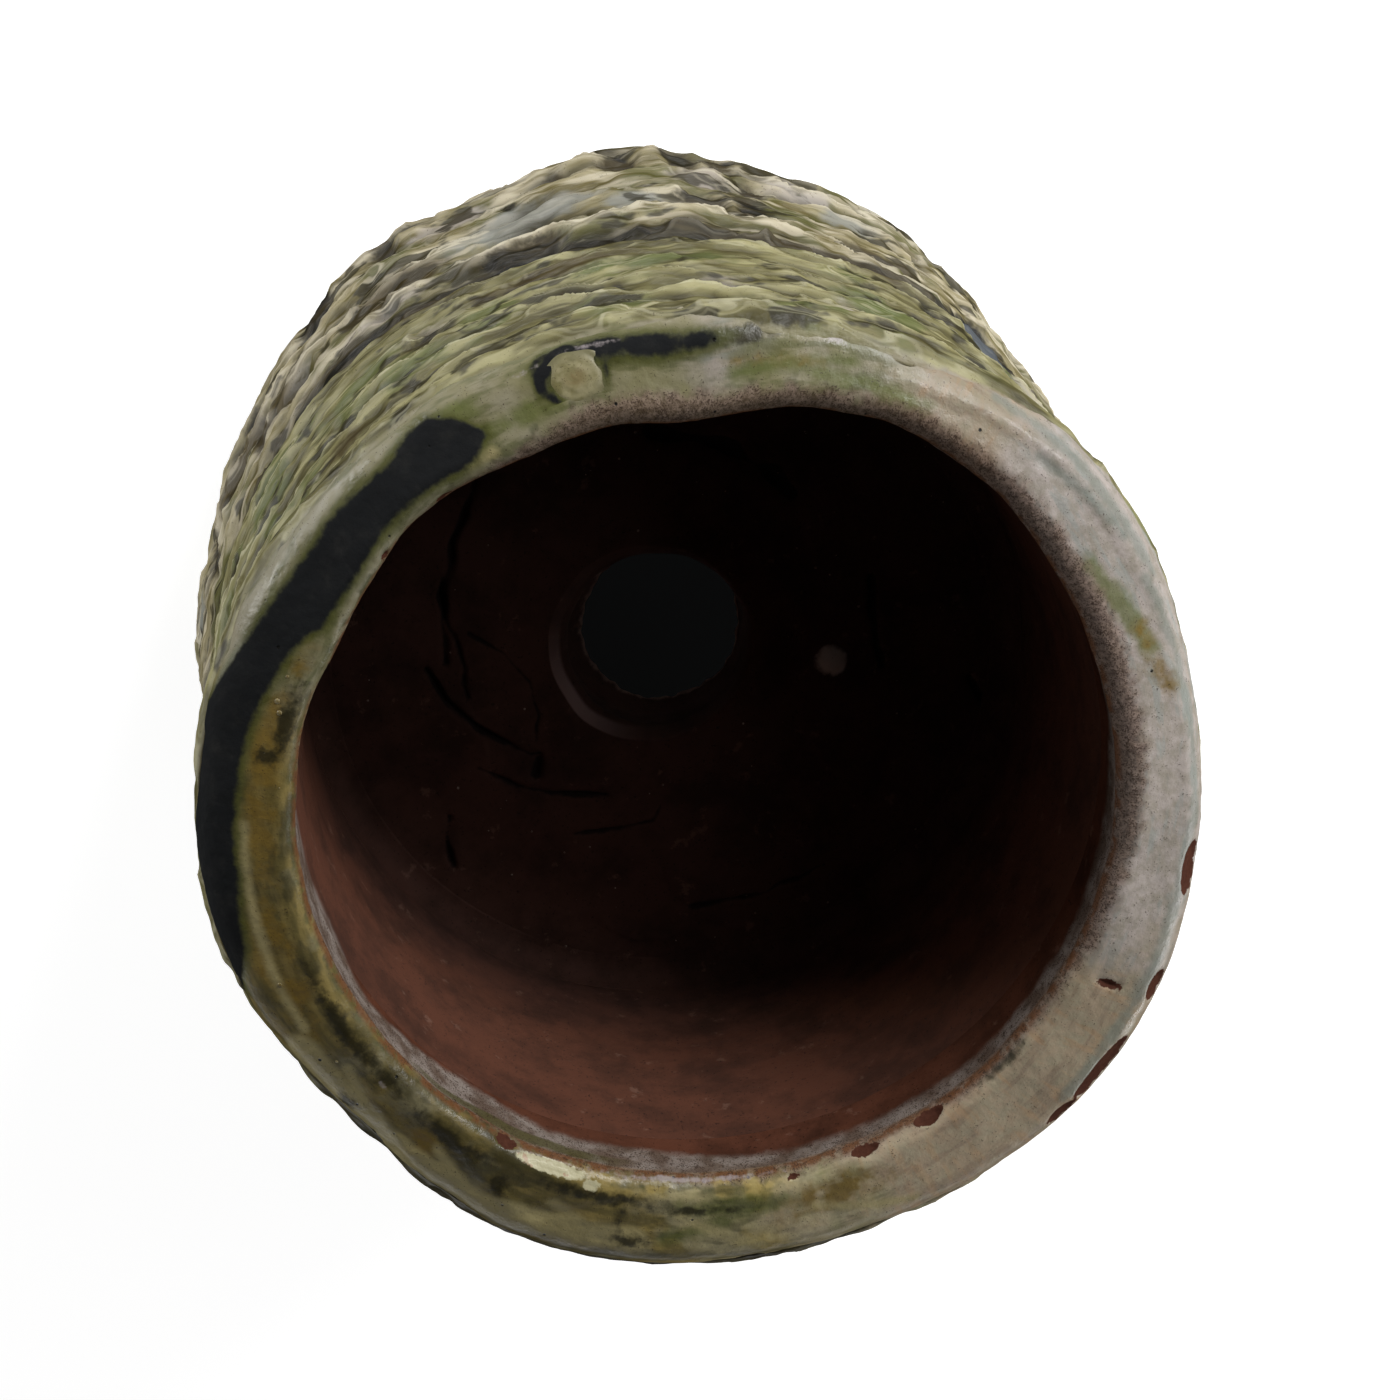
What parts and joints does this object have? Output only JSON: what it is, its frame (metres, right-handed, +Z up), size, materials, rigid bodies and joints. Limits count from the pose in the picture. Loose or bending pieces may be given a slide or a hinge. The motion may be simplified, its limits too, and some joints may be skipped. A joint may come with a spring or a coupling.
{
  "type": "footed planter pot",
  "caption": "Round glazed clay planter with a bark-textured wall, rolled lip, raised floor with a drain hole and stub feet.",
  "frame": {"origin": "on the ground in the middle of the pot's box, under the drain hole", "axes": "+Z up along the pot's axis, out of the mouth; -Y is the side that the picture shows"},
  "size_m": [0.3279, 0.3272, 0.2505],
  "materials": {
    "bare_clay": "unglazed red clay, matte, smoothed by hand",
    "floor_clay": "unglazed red clay, matte, finger-smeared and cracked",
    "lip_glaze": "glossy streaked glaze, grey-cream to olive, with one black brush stroke and small chips",
    "upper_bark_glaze": "glossy olive glaze, broken to cream on the ridges",
    "lower_bark_glaze": "glossy cream glaze with olive-brown pools",
    "knot_glaze": "glossy cream-yellow glaze",
    "foot_glaze": "glossy glaze wiped off the flat that stands on the ground"
  },
  "bodies": {
    "root": {"body_wall": "bare_clay", "floor_slab": "floor_clay", "floor_seam_coil": "bare_clay", "underfloor_seam_coil": "bare_clay", "rim_lip": "lip_glaze", "upper_bark_band": "upper_bark_glaze", "lower_bark_band": "lower_bark_glaze", "knot_pellet": "knot_glaze", "foot_left_front": "foot_glaze", "foot_right_front": "foot_glaze", "foot_back": "foot_glaze"}
  },
  "joints": []
}
